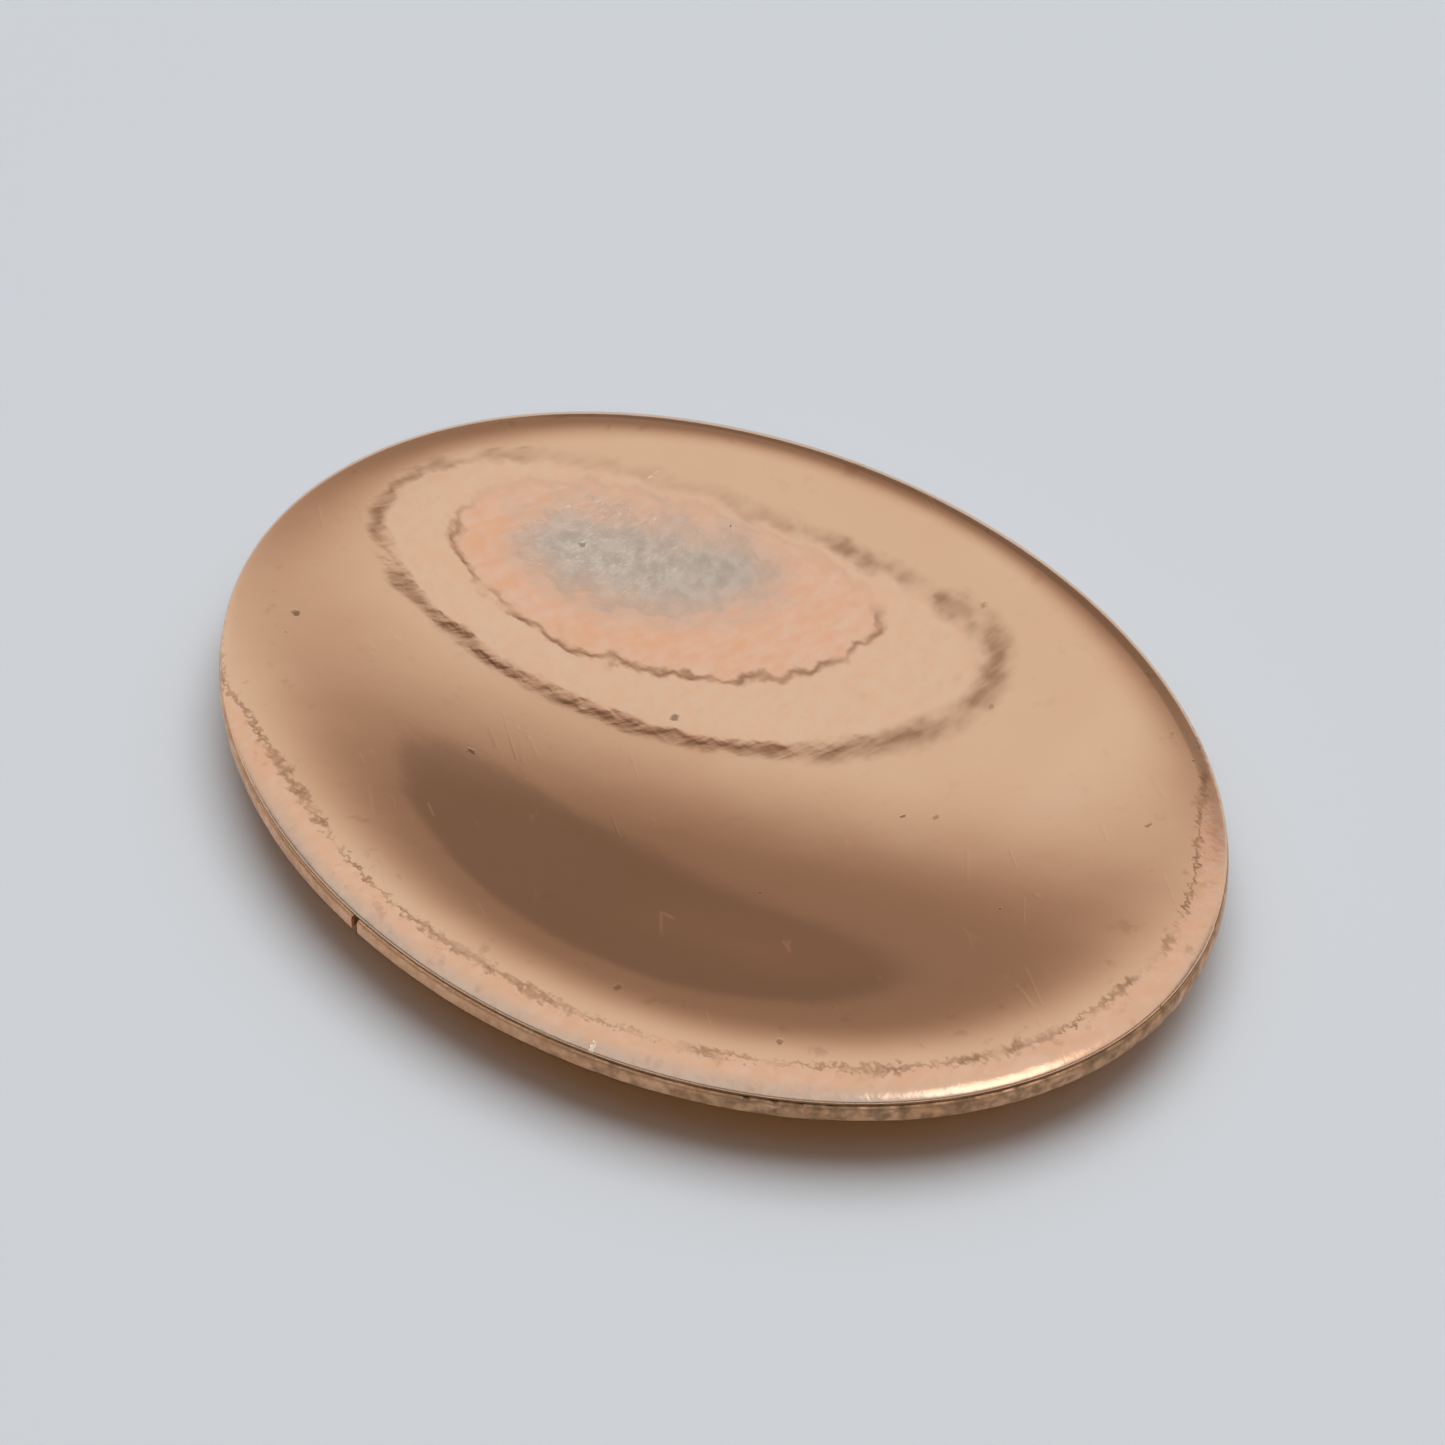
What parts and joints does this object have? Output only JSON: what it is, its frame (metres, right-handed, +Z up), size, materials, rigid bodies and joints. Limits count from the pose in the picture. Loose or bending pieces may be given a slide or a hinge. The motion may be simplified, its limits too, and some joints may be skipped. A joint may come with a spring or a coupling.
{
  "type": "oval dished tray",
  "caption": "Small shallow oval tray raised from one thin metal sheet, its lip rolled over and stiffened by a flat wire soldered under the edge.",
  "frame": {"origin": "below the middle of the oval, on the surface that the tray stands on", "axes": "+X along the oval's length, +Y across it, +Z up out of the hollow"},
  "size_m": [0.0802, 0.0602, 0.0077],
  "materials": {
    "polished_copper": "polished bronze-toned copper, worn through in places to pink copper and grey",
    "wire_copper": "satin, mottled and pitted",
    "tarnished_solder": "dull, dark brown tarnish"
  },
  "bodies": {
    "root": {"dish_sheet": "polished_copper", "rim_wire": "wire_copper", "rim_solder": "tarnished_solder", "wire_joint_solder": "tarnished_solder"}
  },
  "joints": []
}
